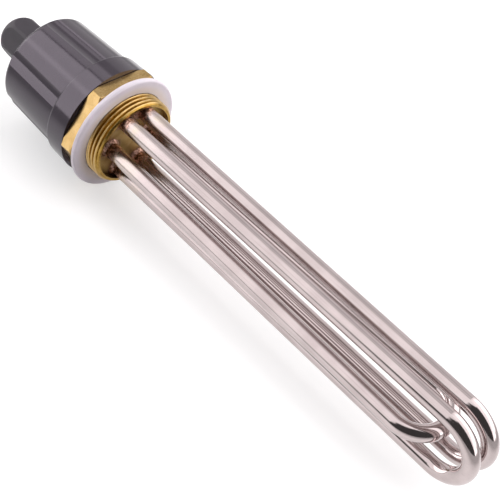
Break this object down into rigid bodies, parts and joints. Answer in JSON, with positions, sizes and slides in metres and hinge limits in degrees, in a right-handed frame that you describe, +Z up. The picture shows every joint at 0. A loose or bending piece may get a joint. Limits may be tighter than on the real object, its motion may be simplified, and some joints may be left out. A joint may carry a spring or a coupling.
{
  "type": "screw-in immersion heater",
  "caption": "Screw-in water immersion heater with hairpin stainless tubes in a brass hex plug, sealing washer, lobed screw-on terminal cover and cable gland.",
  "frame": {"origin": "on the axis, in the sealing face of the washer, where the tank thread begins", "axes": "+X along the heating tubes, away from the cover; +Z up, square to an upper flat of the hex; Y across"},
  "size_m": [0.3338, 0.0636, 0.0626],
  "materials": {
    "brass": "turned and milled",
    "white_washer": "smooth, slightly translucent",
    "stainless": "polished tube, heat tinted near the plug",
    "magnesia": "packed powder",
    "coil_wire": "oxidised",
    "braze": "dull, copper coloured",
    "plated_steel": "plated",
    "bead": "glazed ceramic",
    "cover_plastic": "glossy charcoal",
    "gland_nylon": "matte black",
    "seal_rubber": "soft black"
  },
  "bodies": {
    "head": {"brass_head": "brass", "sealing_washer": "white_washer", "front_sheath": "stainless", "centre_sheath": "stainless", "rear_sheath": "stainless", "front_filling": "magnesia", "centre_filling": "magnesia", "rear_filling": "magnesia", "front_coil": "coil_wire", "centre_coil": "coil_wire", "rear_coil": "coil_wire", "braze_fillets": "braze", "terminal_stud_1": "plated_steel", "terminal_stud_2": "plated_steel", "terminal_stud_3": "plated_steel", "terminal_stud_4": "plated_steel", "terminal_stud_5": "plated_steel", "terminal_stud_6": "plated_steel", "end_seals": "bead", "terminal_nuts": "brass", "terminal_washers": "plated_steel", "star_bridge": "brass", "earth_washer": "plated_steel", "earth_screw": "brass"},
    "seal_ring": {"cover_seal": "seal_rubber"},
    "cover": {"cover": "cover_plastic", "gland_body": "gland_nylon", "gland_gasket": "seal_rubber", "gland_locknut": "gland_nylon"},
    "grommet": {"gland_grommet": "seal_rubber"},
    "gland_nut": {"gland_nut": "gland_nylon"}
  },
  "joints": [
    {"name": "cover_travel", "type": "slide", "parent": "head", "child": "seal_ring", "axis": [-1, 0, 0], "range_m": [0, 0.00701]},
    {"name": "cover_turn", "type": "hinge", "parent": "seal_ring", "child": "cover", "pos_m": [-0.04, 0, 0], "axis": [-1, 0, 0], "range_deg": [0, 1260]},
    {"name": "gland_travel", "type": "slide", "parent": "cover", "child": "grommet", "axis": [-1, 0, 0], "range_m": [0, 0.00301]},
    {"name": "gland_turn", "type": "hinge", "parent": "grommet", "child": "gland_nut", "pos_m": [-0.0792, 0, 0], "axis": [-1, 0, 0], "range_deg": [0, 720]}
  ],
  "couplings": [
    {"joint": "cover_travel", "follows": "cover_turn", "m_per_rad": 0.00031831},
    {"joint": "gland_travel", "follows": "gland_turn", "m_per_rad": 0.00023873}
  ]
}
